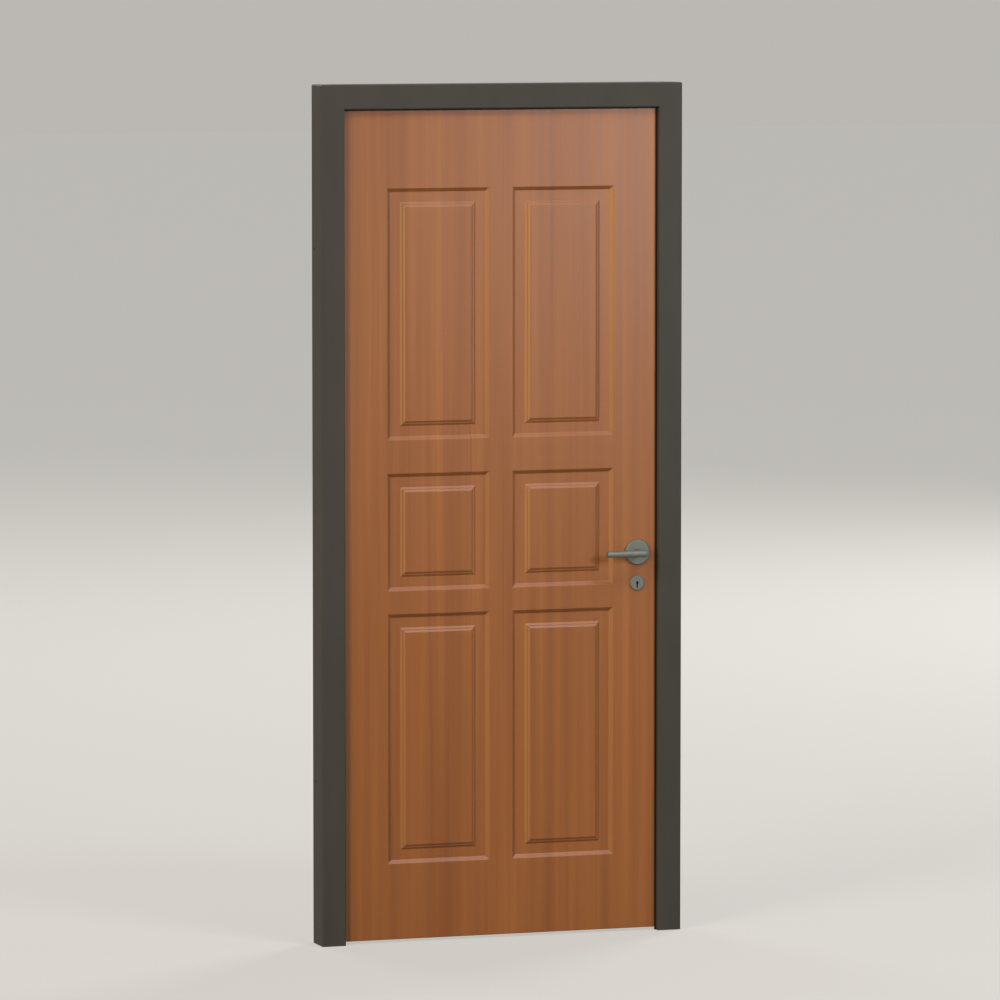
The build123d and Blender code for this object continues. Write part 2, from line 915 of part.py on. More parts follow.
def grub_screw(play=0.0):
    """Set screw in the underside of the lever's neck, on to the spindle."""
    y = leaf_front - spindle_grip / 2 - rose_height / 2
    top = lever_z - spindle_size / 2 - spindle_play
    length = neck_radius - spindle_size / 2 - 0.5
    return rod((lever_x, y, top), (0, 0, -1), length + (neck_radius if play else 0), grub_radius + play)


def build_frame():
    save("hinge_jamb", hinge_jamb())
    save("lock_jamb", lock_jamb())
    save("head", head())
    for name, section in (("stop", stop_section()), ("seal", seal_section())):
        save(f"hinge_side_{name}", upright(section))
        save(f"lock_side_{name}", mirror(upright(section), about=Plane.YZ))
        save(f"head_{name}", crosspiece(section))
    save("corner_screws", corner_screw_set())
    for name, z in hinge_levels:
        save(f"{name}_hinge_frame_plate", hinge_half(z, False))
        save(f"{name}_hinge_pin", hinge_pin(z))
    save("frame_hinge_screws", hinge_screws(False))
    save("strike_plate", strike_plate())
    save("strike_box", strike_box())
    save("strike_screws", strike_screw_set())


def build_leaf():
    save("front_facing", front_facing())
    save("back_facing", back_facing())
    save("hinge_stile", hinge_stile())
    save("lock_stile", lock_stile())
    save("top_rail", top_rail())
    save("bottom_rail", bottom_rail())
    save("core", core())
    for name, z in hinge_levels:
        save(f"{name}_hinge_leaf_plate", hinge_half(z, True))
    save("leaf_hinge_screws", hinge_screws(True))


def build_lock():
    save("lock_case", lock_case())
    save("lock_case_cover", lock_case_cover())
    save("lock_forend", lock_forend())
    save("forend_screws", forend_screw_set())
    save("follower", follower())
    save("spindle", spindle())
    save("latch_bolt", latch_bolt())
    save("latch_spring", latch_spring())
    save("dead_bolt", dead_bolt())


def build_furniture():
    pieces = {
        "rose": outside_rose(),
        "rose_base": rose_base(),
        "escutcheon": outside_escutcheon(),
        "escutcheon_base": escutcheon_base(),
        "lever": outside_lever(),
    }
    for name, piece in pieces.items():
        save(f"outside_{name}", piece)
        save(f"inside_{name}", other_side(piece))
    save("outside_furniture_screws", furniture_screw_set())
    save("inside_furniture_screws", [other_side(s) for s in furniture_screw_set()])
    save("grub_screws", [grub_screw(), other_side(grub_screw())])


os.makedirs("parts", exist_ok=True)
build_frame()
build_leaf()
build_lock()
build_furniture()
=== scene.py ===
import bpy
import bmesh
import numpy as np
from math import pi, radians
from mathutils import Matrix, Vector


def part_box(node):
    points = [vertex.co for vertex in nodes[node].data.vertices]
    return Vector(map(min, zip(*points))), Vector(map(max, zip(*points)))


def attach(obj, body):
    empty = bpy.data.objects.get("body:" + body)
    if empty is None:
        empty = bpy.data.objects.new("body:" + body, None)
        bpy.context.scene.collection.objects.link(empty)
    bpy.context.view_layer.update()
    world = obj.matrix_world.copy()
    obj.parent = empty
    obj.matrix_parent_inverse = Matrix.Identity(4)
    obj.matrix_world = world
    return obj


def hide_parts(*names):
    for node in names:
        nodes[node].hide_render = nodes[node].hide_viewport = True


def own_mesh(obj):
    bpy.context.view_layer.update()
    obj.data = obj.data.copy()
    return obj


# Panelled front door in its frame. Metres, +Z up, outside towards -Y, hinges on the -X side.
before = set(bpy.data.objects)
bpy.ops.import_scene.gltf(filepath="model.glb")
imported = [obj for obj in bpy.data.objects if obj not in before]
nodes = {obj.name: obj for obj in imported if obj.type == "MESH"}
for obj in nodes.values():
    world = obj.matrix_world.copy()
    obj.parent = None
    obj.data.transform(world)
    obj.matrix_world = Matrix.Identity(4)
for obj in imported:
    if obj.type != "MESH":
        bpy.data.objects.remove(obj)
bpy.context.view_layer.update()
print("frame loaded,", len(nodes), "nodes")

mm = 0.001
weld = 1e-7  # metres, points closer than this are one


# Shapes: each starts as grids of points from numpy, joined with quads

def gridQuads(rows, columns):
    # quads between neighbouring rows of points, each row closed on itself
    row, j = np.arange(rows - 1)[:, None] * columns, np.arange(columns)[None, :]
    k = (j + 1) % columns
    return np.stack([row + j, row + k, row + columns + k, row + columns + j], -1).reshape(-1, 4)


def softened(corners, cut, steps=5):
    # each inner corner P of a line becomes (1-t)^2 A + 2t(1-t) P + t^2 B, with A and B at the distance cut
    # from P
    p = np.array(corners, float)
    run = p[1:] - p[:-1]
    unit = run / np.linalg.norm(run, axis=1, keepdims=True)
    a, b, p1 = p[1:-1] - cut * unit[:-1], p[1:-1] + cut * unit[1:], p[1:-1, None]
    t = np.linspace(0, 1, steps)[None, :, None]
    curve = (1 - t) ** 2 * a[:, None] + 2 * t * (1 - t) * p1 + t ** 2 * b[:, None]
    return np.concatenate([p[:1], curve.reshape(-1, 2), p[-1:]])


def turnedGrid(line, origin, axis, across, segments):
    # point = origin + radius (cos a across + sin a axis x across) + height axis,
    # for each (radius, height) of the line
    line, axis, across = np.array(line, float), np.array(axis, float), np.array(across, float)
    a = np.linspace(0, 2 * pi, segments, endpoint=False)
    spoke = np.cos(a)[:, None] * across + np.sin(a)[:, None] * np.cross(axis, across)
    points = np.array(origin) + line[:, None, :1] * spoke + line[:, None, 1:] * axis
    return points.reshape(-1, 3), gridQuads(len(line), segments)


def rodLine(radius, length):
    # outline of a plain rod as (radius, height) points
    return [(0, 0), (radius, 0), (radius, length), (0, length)]


def boxGrid(low, high):
    # the eight corners low + bit (high - low) and their six faces
    bits = (np.arange(8)[:, None] >> np.arange(3)) & 1
    faces = [(0, 2, 3, 1), (4, 5, 7, 6), (0, 1, 5, 4), (2, 6, 7, 3), (0, 4, 6, 2), (1, 3, 7, 5)]
    return np.array(low) + bits * (np.array(high) - np.array(low)), np.array(faces)


def looseObject(name, parts, fillLevel=None):
    # joins (points, quads) grids, merges their doubles, fills the open flat at one Y and turns faces outwards
    starts = np.cumsum([0] + [len(points) for points, _ in parts[:-1]])
    mesh = bpy.data.meshes.new(name)
    mesh.from_pydata(
        np.concatenate([points for points, _ in parts]).tolist(), [],
        np.concatenate([quads + start for (_, quads), start in zip(parts, starts)]).tolist(),
    )
    shape = bmesh.new()
    shape.from_mesh(mesh)
    bmesh.ops.remove_doubles(shape, verts=shape.verts, dist=weld)
    if fillLevel is not None:
        rim = [
            edge for edge in shape.edges
            if edge.is_boundary and all(abs(corner.co.y - fillLevel) < weld for corner in edge.verts)
        ]
        bmesh.ops.triangle_fill(shape, edges=rim, use_beauty=True)
    bmesh.ops.recalc_face_normals(shape, faces=shape.faces)
    shape.to_mesh(mesh)
    shape.free()
    piece = bpy.data.objects.new(name, mesh)
    bpy.context.scene.collection.objects.link(piece)
    return piece


def carved(piece, tools, operation="DIFFERENCE"):
    # cuts the tools out of the piece, or joins them to it, with exact booleans that become its own mesh
    for tool in tools:
        step = piece.modifiers.new("carve", "BOOLEAN")
        step.object, step.operation, step.solver = tool, operation, "EXACT"
    result = bpy.data.meshes.new_from_object(piece.evaluated_get(bpy.context.evaluated_depsgraph_get()))
    piece.modifiers.clear()
    piece.data = result
    for tool in tools:
        bpy.data.objects.remove(tool)
    return piece


def dressed(piece, material, body, stands, sharp=35):
    # smooth shading that keeps edges above an angle crisp and large flats flat
    mesh = piece.data
    mesh.materials.clear()
    mesh.materials.append(material)
    mesh.polygons.foreach_set("use_smooth", np.ones(len(mesh.polygons), bool))
    mesh.set_sharp_from_angle(angle=radians(sharp))
    flatter = piece.modifiers.new("flat faces", "WEIGHTED_NORMAL")
    flatter.keep_sharp = True
    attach(piece, body)
    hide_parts(*stands)
    return piece


# Materials

def linearColour(text):
    # sRGB hex to linear: c / 12.92 below 0.04045, else ((c + 0.055) / 1.055) ^ 2.4
    c = np.array([int(text[i:i + 2], 16) / 255 for i in (1, 3, 5)])
    return (*np.where(c < 0.04045, c / 12.92, ((c + 0.055) / 1.055) ** 2.4), 1.0)


def addNode(tree, kind, inputs, stops=None, **settings):
    # one node: settings are its properties, inputs are constants or the sockets that feed them, and stops
    # are the (place, colour) pairs of a ramp
    node = tree.nodes.new(kind)
    for name, value in settings.items():
        setattr(node, name, value)
    for socket, value in inputs.items():
        if isinstance(value, bpy.types.NodeSocket):
            tree.links.new(value, node.inputs[socket])
        else:
            node.inputs[socket].default_value = value
    for i, (place, colour) in enumerate(stops or []):
        stop = node.color_ramp.elements[i] if i < 2 else node.color_ramp.elements.new(place)
        stop.position, stop.color = place, linearColour(colour)
    return node


def newMaterial(name, constants):
    # a material with its shader's constants set on the shader's own sockets
    material = bpy.data.materials.new(name)
    material.use_nodes = True
    tree = material.node_tree
    shader = tree.nodes["Principled BSDF"]
    for socket, value in constants.items():
        shader.inputs[socket].default_value = linearColour(value) if isinstance(value, str) else value
    place = addNode(tree, "ShaderNodeTexCoord", {}).outputs["Object"]
    return material, tree, shader, place


def pattern(tree, place, size, detail=2.0, roughness=0.5, distortion=0.0, shift=(0, 0, 0)):
    # noise at place / size + shift, so that its blotches are about size = (x, y, z) mm
    scaled = addNode(tree, "ShaderNodeMapping", {
        "Vector": place, "Location": shift, "Scale": [1 / (s * mm) for s in size]})
    return addNode(tree, "ShaderNodeTexNoise", {
        "Vector": scaled.outputs[0], "Scale": 1.0, "Detail": detail, "Roughness": roughness,
        "Distortion": distortion,
    }).outputs["Fac"]


def weighted(tree, terms):
    # sum of weight x value over the terms
    total = 0.0
    for value, weight in terms:
        total = addNode(
            tree, "ShaderNodeMath", {0: value, 1: weight, 2: total}, operation="MULTIPLY_ADD").outputs[0]
    return total


veneerLook = {
    # the ramp's two ends, then the stops between them
    "stops": ((0.34, "#794319"), (0.66, "#945929"), (0.45, "#824a1d"), (0.55, "#8a5122")),
    "mark": "#6f3a14",  # the rare darker line
    "paintedLightToLock": 0.15,  # painted light: tone per metre paler towards the lock side, standing in for the brighter sheen there
    # sizes in mm: across, deep and along the grain
    "band": (110, 400, 3000), "streak": (22, 150, 1300), "line": (6, 60, 1500),
    "fibre": (4, 25, 260), "pore": (0.9, 4, 11),
}


def veneerMaterial():
    # alder veneer, sliced, stained and lacquered satin: soft long streaks that run on over the moulding,
    # # a few darker lines, pores that only show close by, a low even sheen, and a painted lightening towards
    # the lock side that stands in for the sheen falling there
    material, tree, shader, place = newMaterial("alderVeneerLacquered", {"IOR": 1.5})
    look = veneerLook
    band = pattern(tree, place, look["band"], 2.0, 0.5, 0.3, shift=(4.1, 0, 2.2))
    streak = pattern(tree, place, look["streak"], 2.0, 0.5, 0.2, shift=(1.7, 0, 0.6))
    fibre = pattern(tree, place, look["fibre"], 2.0)
    pore = pattern(tree, place, look["pore"], 1.0)
    line = pattern(tree, place, look["line"], 1.0, shift=(7.3, 0, 0.4))
    # painted light: X, the way towards the lock side, lifts the tone there in place of the sheen that falls
    # on that side
    across = addNode(tree, "ShaderNodeSeparateXYZ", {0: place}).outputs["X"]
    tone = weighted(tree, [
        (band, 0.5), (streak, 0.38), (fibre, 0.08), (pore, 0.04), (across, look["paintedLightToLock"])])
    ramp = addNode(tree, "ShaderNodeValToRGB", {0: tone}, stops=look["stops"])
    rare = addNode(tree, "ShaderNodeMapRange", {
        "Value": line, "From Min": 0.64, "From Max": 0.78, "To Min": 0.0, "To Max": 0.4})
    marked = addNode(tree, "ShaderNodeMix", {
        0: rare.outputs[0], 6: ramp.outputs[0], 7: linearColour(look["mark"])}, data_type="RGBA")
    sheen = addNode(tree, "ShaderNodeMapRange", {
        "Value": streak, "From Min": 0.3, "From Max": 0.7, "To Min": 0.4, "To Max": 0.45})
    bump = addNode(tree, "ShaderNodeBump", {
        "Height": weighted(tree, [(pore, 0.5), (fibre, 0.5)]), "Distance": 0.05 * mm, "Strength": 0.5})
    tree.links.new(marked.outputs[2], shader.inputs["Base Color"])
    tree.links.new(sheen.outputs[0], shader.inputs["Roughness"])
    tree.links.new(bump.outputs[0], shader.inputs["Normal"])
    return material


def paintMaterial():
    # brushed alkyd paint over primed softwood: faint ripple along the member and a low, slightly uneven sheen
    material, tree, shader, place = newMaterial("satinPaintUmberGrey", {
        "IOR": 1.5, "Specular IOR Level": 0.16})
    cloud = pattern(tree, place, (60, 60, 240), 3.0)
    ripple = pattern(tree, place, (1.6, 1.6, 26), 2.0)
    ramp = addNode(tree, "ShaderNodeValToRGB", {0: cloud}, stops=[(0.3, "#3c3936"), (0.7, "#413e3b")])
    sheen = addNode(tree, "ShaderNodeMapRange", {
        "Value": cloud, "From Min": 0.3, "From Max": 0.7, "To Min": 0.62, "To Max": 0.7})
    bump = addNode(tree, "ShaderNodeBump", {"Height": ripple, "Distance": 0.03 * mm, "Strength": 0.4})
    tree.links.new(ramp.outputs[0], shader.inputs["Base Color"])
    tree.links.new(sheen.outputs[0], shader.inputs["Roughness"])
    tree.links.new(bump.outputs[0], shader.inputs["Normal"])
    return material


def rubberMaterial():
    # extruded EPDM: brown-black and dull, with fine dust
    material, tree, shader, place = newMaterial("epdmExtruded", {
        "Roughness": 0.7, "IOR": 1.52, "Specular IOR Level": 0.25})
    dust = pattern(tree, place, (3, 3, 9), 3.0)
    ramp = addNode(tree, "ShaderNodeValToRGB", {0: dust}, stops=[(0.3, "#120a05"), (0.75, "#1c120b")])
    bump = addNode(tree, "ShaderNodeBump", {"Height": dust, "Distance": 0.03 * mm})
    tree.links.new(ramp.outputs[0], shader.inputs["Base Color"])
    tree.links.new(bump.outputs[0], shader.inputs["Normal"])
    return material


def timberMaterial(name, along):
    # planed beech, stained to the veneer: straight fibres along the board and short dark flecks
    material, tree, shader, place = newMaterial(name, {"IOR": 1.5, "Specular IOR Level": 0.35})
    ringSize, fleckSize = {"z": ((9, 9, 500), (0.9, 0.9, 14)), "x": ((500, 9, 9), (14, 0.9, 0.9))}[along]
    ring = pattern(tree, place, ringSize, 3.0, 0.5, 0.3)
    fleck = pattern(tree, place, fleckSize, 1.0)
    tone = weighted(tree, [(ring, 0.7), (fleck, 0.3)])
    ramp = addNode(tree, "ShaderNodeValToRGB", {0: tone}, stops=[(0.35, "#744020"), (0.65, "#945c36")])
    sheen = addNode(tree, "ShaderNodeMapRange", {
        "Value": ring, "From Min": 0.3, "From Max": 0.7, "To Min": 0.45, "To Max": 0.55})
    bump = addNode(tree, "ShaderNodeBump", {"Height": fleck, "Distance": 0.05 * mm})
    tree.links.new(ramp.outputs[0], shader.inputs["Base Color"])
    tree.links.new(sheen.outputs[0], shader.inputs["Roughness"])
    tree.links.new(bump.outputs[0], shader.inputs["Normal"])
    return material


def chipboardMaterial():
    # pressed chipboard: pale chips of a few millimetres with dark glue between them
    material, tree, shader, place = newMaterial("chipboardPressed", {"Roughness": 0.75})
    chipSize = 3.5 * mm
    cells = addNode(tree, "ShaderNodeTexVoronoi", {"Vector": place, "Scale": 1 / chipSize})
    chips = cells.outputs["Distance"]
    ramp = addNode(tree, "ShaderNodeValToRGB", {0: chips}, stops=[(0.2, "#b89669"), (0.9, "#6d5233")])
    bump = addNode(tree, "ShaderNodeBump", {"Height": chips, "Distance": 0.2 * mm})
    tree.links.new(ramp.outputs[0], shader.inputs["Base Color"])
    tree.links.new(bump.outputs[0], shader.inputs["Normal"])
    return material


def metalMaterial(name, colours, roughness, grain, depth, metallic=1.0):
    # metal with fine marks: a slightly uneven tone and sheen, and a bump along its brushing or casting
    material, tree, shader, place = newMaterial(name, {"Metallic": metallic})
    cloud = pattern(tree, place, (14, 14, 14), 3.0)
    mark = pattern(tree, place, grain, 2.0)
    tone = weighted(tree, [(cloud, 0.5), (mark, 0.5)])
    ramp = addNode(tree, "ShaderNodeValToRGB", {0: tone}, stops=[(0.35, colours[0]), (0.65, colours[1])])
    sheen = addNode(tree, "ShaderNodeMapRange", {
        "Value": mark, "From Min": 0.3, "From Max": 0.7, "To Min": roughness[0], "To Max": roughness[1]})
    bump = addNode(tree, "ShaderNodeBump", {"Height": mark, "Distance": depth})
    tree.links.new(ramp.outputs[0], shader.inputs["Base Color"])
    tree.links.new(sheen.outputs[0], shader.inputs["Roughness"])
    tree.links.new(bump.outputs[0], shader.inputs["Normal"])
    return material


def nylonMaterial():
    # moulded glass-filled nylon: black with a fine matt grain
    material, tree, shader, place = newMaterial("nylonMoulded", {"Roughness": 0.5, "IOR": 1.53})
    grain = pattern(tree, place, (0.5, 0.5, 0.5), 1.0)
    ramp = addNode(tree, "ShaderNodeValToRGB", {0: grain}, stops=[(0.3, "#0c0c0c"), (0.7, "#171717")])
    bump = addNode(tree, "ShaderNodeBump", {"Height": grain, "Distance": 0.02 * mm})
    tree.links.new(ramp.outputs[0], shader.inputs["Base Color"])
    tree.links.new(bump.outputs[0], shader.inputs["Normal"])
    return material


veneer = veneerMaterial()
paint = paintMaterial()
rubber = rubberMaterial()
stileTimber = timberMaterial("beechPlanedUpright", "z")
railTimber = timberMaterial("beechPlanedLevel", "x")
chipboard = chipboardMaterial()
nylon = nylonMaterial()
# each metal: two colours, roughness from and to, size of its marks in mm, depth of its marks
# stainless steel, brushed up and down: soft grey with fine upright lines
hingeSteel = metalMaterial(
    "stainlessBrushed", ("#8c8c8a", "#a3a3a1"), (0.26, 0.36), (0.5, 0.5, 18), 0.012 * mm)
# zinc-plated steel: brighter, faintly blue, even
screwSteel = metalMaterial(
    "steelZincPlated", ("#9a9ca0", "#b4b5b6"), (0.24, 0.34), (0.8, 0.8, 0.8), 0.008 * mm)
# galvanised steel sheet of the lock's case: dull with soft spangles
caseSteel = metalMaterial(
    "steelGalvanised", ("#7d7f82", "#9b9da0"), (0.32, 0.5), (5, 5, 5), 0.01 * mm)
# nickel-plated brass of the bolts: smooth and slightly warm
boltNickel = metalMaterial(
    "brassNickelPlated", ("#a29f98", "#b9b6ae"), (0.18, 0.26), (0.6, 2, 2), 0.005 * mm)
# aluminium, bead-blasted and anodised grey: dull and even, as the thick oxide scatters part of the light
handleAluminium = metalMaterial(
    "aluminiumAnodisedGrey", ("#656862", "#71746e"), (0.54, 0.62), (0.45, 0.45, 0.45), 0.01 * mm,
    metallic=0.6)
print("materials made")

# Materials of the CAD nodes that stay as they are
nodeMaterials = {
    paint: ["hinge_jamb", "lock_jamb", "head", "hinge_side_stop", "lock_side_stop", "head_stop"],
    rubber: ["hinge_side_seal", "lock_side_seal", "head_seal"],
    stileTimber: ["hinge_stile", "lock_stile"],
    railTimber: ["top_rail", "bottom_rail"],
    chipboard: ["core"],
    hingeSteel: [
        *(f"{level}_hinge_{part}" for level in ("upper", "middle", "lower")
          for part in ("frame_plate", "pin", "leaf_plate")),
        "strike_plate", "lock_forend",
    ],
    caseSteel: ["lock_case", "lock_case_cover", "follower", "spindle"],
    boltNickel: ["latch_bolt", "dead_bolt"],
    nylon: [
        "strike_box", "outside_rose_base", "inside_rose_base",
        "outside_escutcheon_base", "inside_escutcheon_base",
    ],
}
for material, names in nodeMaterials.items():
    for name in names:
        mesh = nodes[name].data
        mesh.materials.clear()
        mesh.materials.append(material)
print("CAD nodes dressed")


# Leaf facings

leaf = {
    "margin": 0.122, "muntin": 0.060, "bottomMargin": 0.187,
    "panelHeights": (0.613, 0.287, 0.6125), "railHeights": (0.057, 0.082, 0),
    "thickness": 0.009, "arris": 0.0015,
    # mm in from the panel's outline and mm up, and the rounding of its corners in mm
    "moulding": ((-3, 0), (0, 0), (8.6, -7), (34, -7), (38.4, -3.8), (41, -3.6), (45.5, -0.4), (50, -0.4)),
    "softening": 0.8,
    "arrisSteps": 7, "holeSegments": 32, "holeReach": 0.02,
    "hingeLevels": (0.282, 1.0645, 1.847), "plateHeight": 0.1, "plateThickness": 0.003,
    "plateClear": 0.01, "plateDepth": 0.05,
}
leafLow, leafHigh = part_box("front_facing")
leafLeft, leafRight, leafBottom, leafTop = leafLow.x, leafHigh.x, leafLow.z, leafHigh.z
faceLevel = -leafLow.y  # both faces lie this far from the middle of the leaf

lock = {
    "backset": 0.060, "leverRise": 0.935, "keyDrop": 0.076,
    "spindleHole": 0.011, "keyHole": 0.0053, "keySlot": 0.0058, "keyReach": 0.013,
}
leverX, leverZ = leafRight - lock["backset"], leafBottom + lock["leverRise"]
keyZ = leverZ - lock["keyDrop"]


def rectangleGrid(middle, size, line, face, outward):
    # mitred rectangle for each (inset, height) of the line: corner = middle + sign (size / 2 - inset),
    # y = face + outward height
    signs = np.array([(-1, -1), (1, -1), (1, 1), (-1, 1)])
    flat = np.array(middle) + signs * (np.array(size) / 2 - line[:, None, :1])
    depth = np.broadcast_to(face + outward * line[:, 1:], flat.shape[:2])
    return np.stack([flat[..., 0], depth, flat[..., 1]], -1).reshape(-1, 3), gridQuads(len(line), 4)


def panelPlaces():
    # middle and size of the six panels, from the bottom rail upwards in two columns
    width = (leafRight - leafLeft - 2 * leaf["margin"] - leaf["muntin"]) / 2
    heights, rails = np.array(leaf["panelHeights"]), np.array(leaf["railHeights"])
    starts = leafBottom + leaf["bottomMargin"] + np.concatenate([[0], np.cumsum(heights + rails)[:-1]])
    return [
        ((side * (leaf["muntin"] + width) / 2, start + height / 2), (width, height))
        for side in (-1, 1) for start, height in zip(starts, heights)
    ]


def mitred(piece):
    # marks the mitres sharp, which are the edges that run both across and up, so that each side of a moulding
    # keeps its own light
    mesh = piece.data
    points, ends = np.empty(len(mesh.vertices) * 3), np.empty(len(mesh.edges) * 2, int)
    mesh.vertices.foreach_get("co", points)
    mesh.edges.foreach_get("vertices", ends)
    run = abs(np.diff(points.reshape(-1, 3)[ends.reshape(-1, 2)], axis=1))[:, 0]
    sharp = np.empty(len(ends) // 2, bool)
    mesh.edges.foreach_get("use_edge_sharp", sharp)
    least = 0.01 * mm
    mesh.edges.foreach_set("use_edge_sharp", sharp | ((run[:, 0] > least) & (run[:, 2] > least)))
    return piece


def facingPiece(name, outward, node):
    # one sheet: a moulding carried round each panel and an eased edge round the leaf, closed by flats
    face = outward * faceLevel
    line = softened(leaf["moulding"], leaf["softening"])[1:-1] * mm
    parts = []
    for middle, size in panelPlaces():
        points, quads = rectangleGrid(middle, size, line, face, outward)
        parts += [(points, quads), (points[-4:], np.array([[0, 1, 2, 3]]))]
    bend = np.linspace(0, pi / 2, leaf["arrisSteps"])
    r = leaf["arris"]
    edge = np.stack([r * (1 - np.sin(bend)), r * (np.cos(bend) - 1)], -1)
    edge = np.concatenate([edge, [(0, -leaf["thickness"])]])
    middle = ((leafLeft + leafRight) / 2, (leafBottom + leafTop) / 2)
    size = (leafRight - leafLeft, leafTop - leafBottom)
    points, quads = rectangleGrid(middle, size, edge, face, outward)
    parts += [(points, quads), (points[-4:], np.array([[0, 1, 2, 3]]))]
    piece = looseObject(name, parts, fillLevel=face)
    reach, half = leaf["holeReach"], lock["keySlot"] / 2
    tools = [
        looseObject(toolName, [turnedGrid(
            rodLine(radius, 2 * reach), (leverX, face - outward * reach, z),
            (0, outward, 0), (1, 0, 0), leaf["holeSegments"])])
        for toolName, radius, z in (
            ("spindleTool", lock["spindleHole"], leverZ), ("keyTool", lock["keyHole"], keyZ))
    ]
    tools.append(looseObject("slotTool", [boxGrid(
        (leverX - half, face - reach, keyZ - lock["keyReach"]), (leverX + half, face + reach, keyZ))]))
    if outward > 0:
        half = leaf["plateHeight"] / 2
        tools += [
            looseObject("plateTool", [boxGrid(
                (leafLeft - leaf["plateClear"], 0, z - half),
                (leafLeft + leaf["plateThickness"], leaf["plateDepth"], z + half))])
            for z in leaf["hingeLevels"]
        ]
    return mitred(dressed(carved(piece, tools), veneer, "leaf", [node]))


facingPiece("outsideFacing", -1, "front_facing")
facingPiece("insideFacing", 1, "back_facing")
print("facings made")


# Handles, roses and escutcheons, with the outside one mirrored for the inside

furniture = {
    "roseRadius": 31, "roseHeight": 9.5, "roseChamfer": 1.8, "neckHole": 9.3,
    "plateRadius": 18.5, "plateHeight": 5, "plateChamfer": 1.2,
    "keyRadius": 3.3, "keySlot": 3.6, "keyReach": 13, "keyStart": 1, "keyDepth": 10,
    "wall": 1.5, "seat": 0.01, "softening": 0.35,
    "neckRadius": 9, "neckStart": 1, "standOff": 50, "gripLength": 95, "gripRoot": 9.5,
    "rootRadius": 9.3, "tipRadius": 7.4, "rootRounding": 7.5, "tipRounding": 1.0,
    "boreRadius": 2.55, "boreDepth": 20, "grubStandOff": 18.75, "grubDrop": 4.05,
    "capSegments": 96, "keySegments": 40, "gripSegments": 64, "boreSegments": 24,
    "capSteps": 4, "rootSteps": 10, "tipSteps": 5,
}  # mm, with segments and steps as counts


def capLine(radius, height, chamfer, hole):
    # outline of a hollow turned cap, closed at its middle where it has no hole
    f = furniture
    under = height - f["wall"]
    inner = radius - f["wall"]
    corners = [(radius, f["seat"]), (radius, height - chamfer), (radius - chamfer, height), (hole, height)]
    back = [(hole, under), (inner, under), (inner, f["seat"]), (radius, f["seat"])]
    line = softened(corners, f["softening"], f["capSteps"]).tolist()
    return np.array(line + back) * mm


def capPiece(name, outward, z, radius, height, chamfer, hole, node, tools=()):
    # the cap's outline turned about Y on one face of the leaf, less its tools
    line = capLine(radius, height, chamfer, hole)
    origin = (leverX, outward * faceLevel, z)
    grid = turnedGrid(line, origin, (0, outward, 0), (1, 0, 0), furniture["capSegments"])
    piece = looseObject(name, [grid])
    if tools:
        piece = carved(piece, tools)
    return dressed(piece, handleAluminium, "leaf", [node])


def keyTools(outward):
    # the keyhole through an escutcheon: a rod for its round top and a box below it for its slot
    f = furniture
    start, depth, half = faceLevel + f["keyStart"] * mm, f["keyDepth"] * mm, f["keySlot"] / 2 * mm
    bore = looseObject("roundTool", [turnedGrid(
        rodLine(f["keyRadius"] * mm, depth), (leverX, outward * start, keyZ),
        (0, outward, 0), (1, 0, 0), f["keySegments"])])
    low, high = sorted((outward * start, outward * (start + depth)))
    slot = looseObject("slotTool", [boxGrid(
        (leverX - half, low, keyZ - f["keyReach"] * mm), (leverX + half, high, keyZ))])
    return [bore, slot]


def grubPlace(outward):
    # inner end of the grub screw in a lever's neck
    f = furniture
    return (leverX, outward * (faceLevel + f["grubStandOff"] * mm), leverZ - f["grubDrop"] * mm)


def leverPiece(name, outward, node):
    # grip: a round bar along -X whose radius falls evenly, with rounded ends; neck: a round bar along Y;
    # a bore from below for the grub screw
    f = furniture
    length = f["gripLength"] + f["gripRoot"]
    rootEnd, tipEnd = (f["rootRadius"], 0), (f["tipRadius"], length)
    root = softened([(0, 0), rootEnd, tipEnd], f["rootRounding"], f["rootSteps"])[:-1]
    tip = softened([rootEnd, tipEnd, (0, length)], f["tipRounding"], f["tipSteps"])[1:]
    start = (leverX + f["gripRoot"] * mm, outward * (faceLevel + f["standOff"] * mm), leverZ)
    grip = looseObject(name, [turnedGrid(
        np.concatenate([root, tip]) * mm, start, (-1, 0, 0), (0, 0, 1), f["gripSegments"])])
    neck = looseObject("neckTool", [turnedGrid(
        rodLine(f["neckRadius"] * mm, (f["standOff"] - f["neckStart"]) * mm),
        (leverX, outward * (faceLevel + f["neckStart"] * mm), leverZ),
        (0, outward, 0), (1, 0, 0), f["gripSegments"])])
    bore = looseObject("boreTool", [turnedGrid(
        rodLine(f["boreRadius"] * mm, f["boreDepth"] * mm), grubPlace(outward),
        (0, 0, -1), (1, 0, 0), f["boreSegments"])])
    piece = carved(carved(grip, [neck], "UNION"), [bore])
    return dressed(piece, handleAluminium, "lever", [node])


for side, outward in (("outside", -1), ("inside", 1)):
    f = furniture
    capPiece(
        f"{side}Rose", outward, leverZ, f["roseRadius"], f["roseHeight"], f["roseChamfer"], f["neckHole"],
        f"{side}_rose")
    capPiece(
        f"{side}Escutcheon", outward, keyZ, f["plateRadius"], f["plateHeight"], f["plateChamfer"], 0,
        f"{side}_escutcheon", keyTools(outward))
    leverPiece(f"{side}Lever", outward, f"{side}_lever")
print("furniture made")


# Screws with a cross recess, and grub screws with a hexagon socket

screw = {
    "columns": 40, "headRings": 13, "threadRows": 40, "pitch": 2.2, "threadDepth": 0.4,
    "head": 4.4, "headHeight": 2.4, "shank": 2.25, "length": 30, "shortLength": 12,
    "cornerLength": 110, "cornerShank": 3,
    "armWidth": 0.17, "armReach": 0.58, "recess": 1.3, "soft": 0.35,
}  # mm, with columns, rings and rows as counts and arms as shares of the head's radius


def eased(value):
    # 0 below 0, 1 above 1, and 3t^2 - 2t^3 between
    t = np.clip(value, 0, 1)
    return t * t * (3 - 2 * t)


